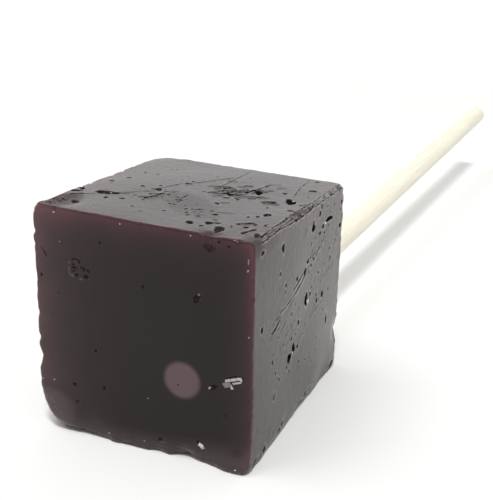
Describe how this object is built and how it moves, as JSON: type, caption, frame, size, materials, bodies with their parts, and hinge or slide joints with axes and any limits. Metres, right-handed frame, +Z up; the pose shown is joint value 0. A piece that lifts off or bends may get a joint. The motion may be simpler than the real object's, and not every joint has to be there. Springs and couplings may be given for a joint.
{
  "type": "cube lollipop",
  "caption": "Cube lollipop: a cast block of dark, near-black hard candy lying on one side, with a long round wooden stick set off-centre in its back face.",
  "frame": {"origin": "middle of the flat face that the candy rests on", "axes": "+Z up, +Y away from the smooth front face, along the stick, +X to the right seen from the front"},
  "size_m": [0.0255, 0.152, 0.0256],
  "materials": {
    "dark_candy": "glossy near-black burgundy hard candy, redder at its thin edges",
    "pale_wood": "pale sanded birch, matte"
  },
  "bodies": {
    "root": {"candy_cube": "dark_candy", "stick": "pale_wood"}
  },
  "joints": []
}
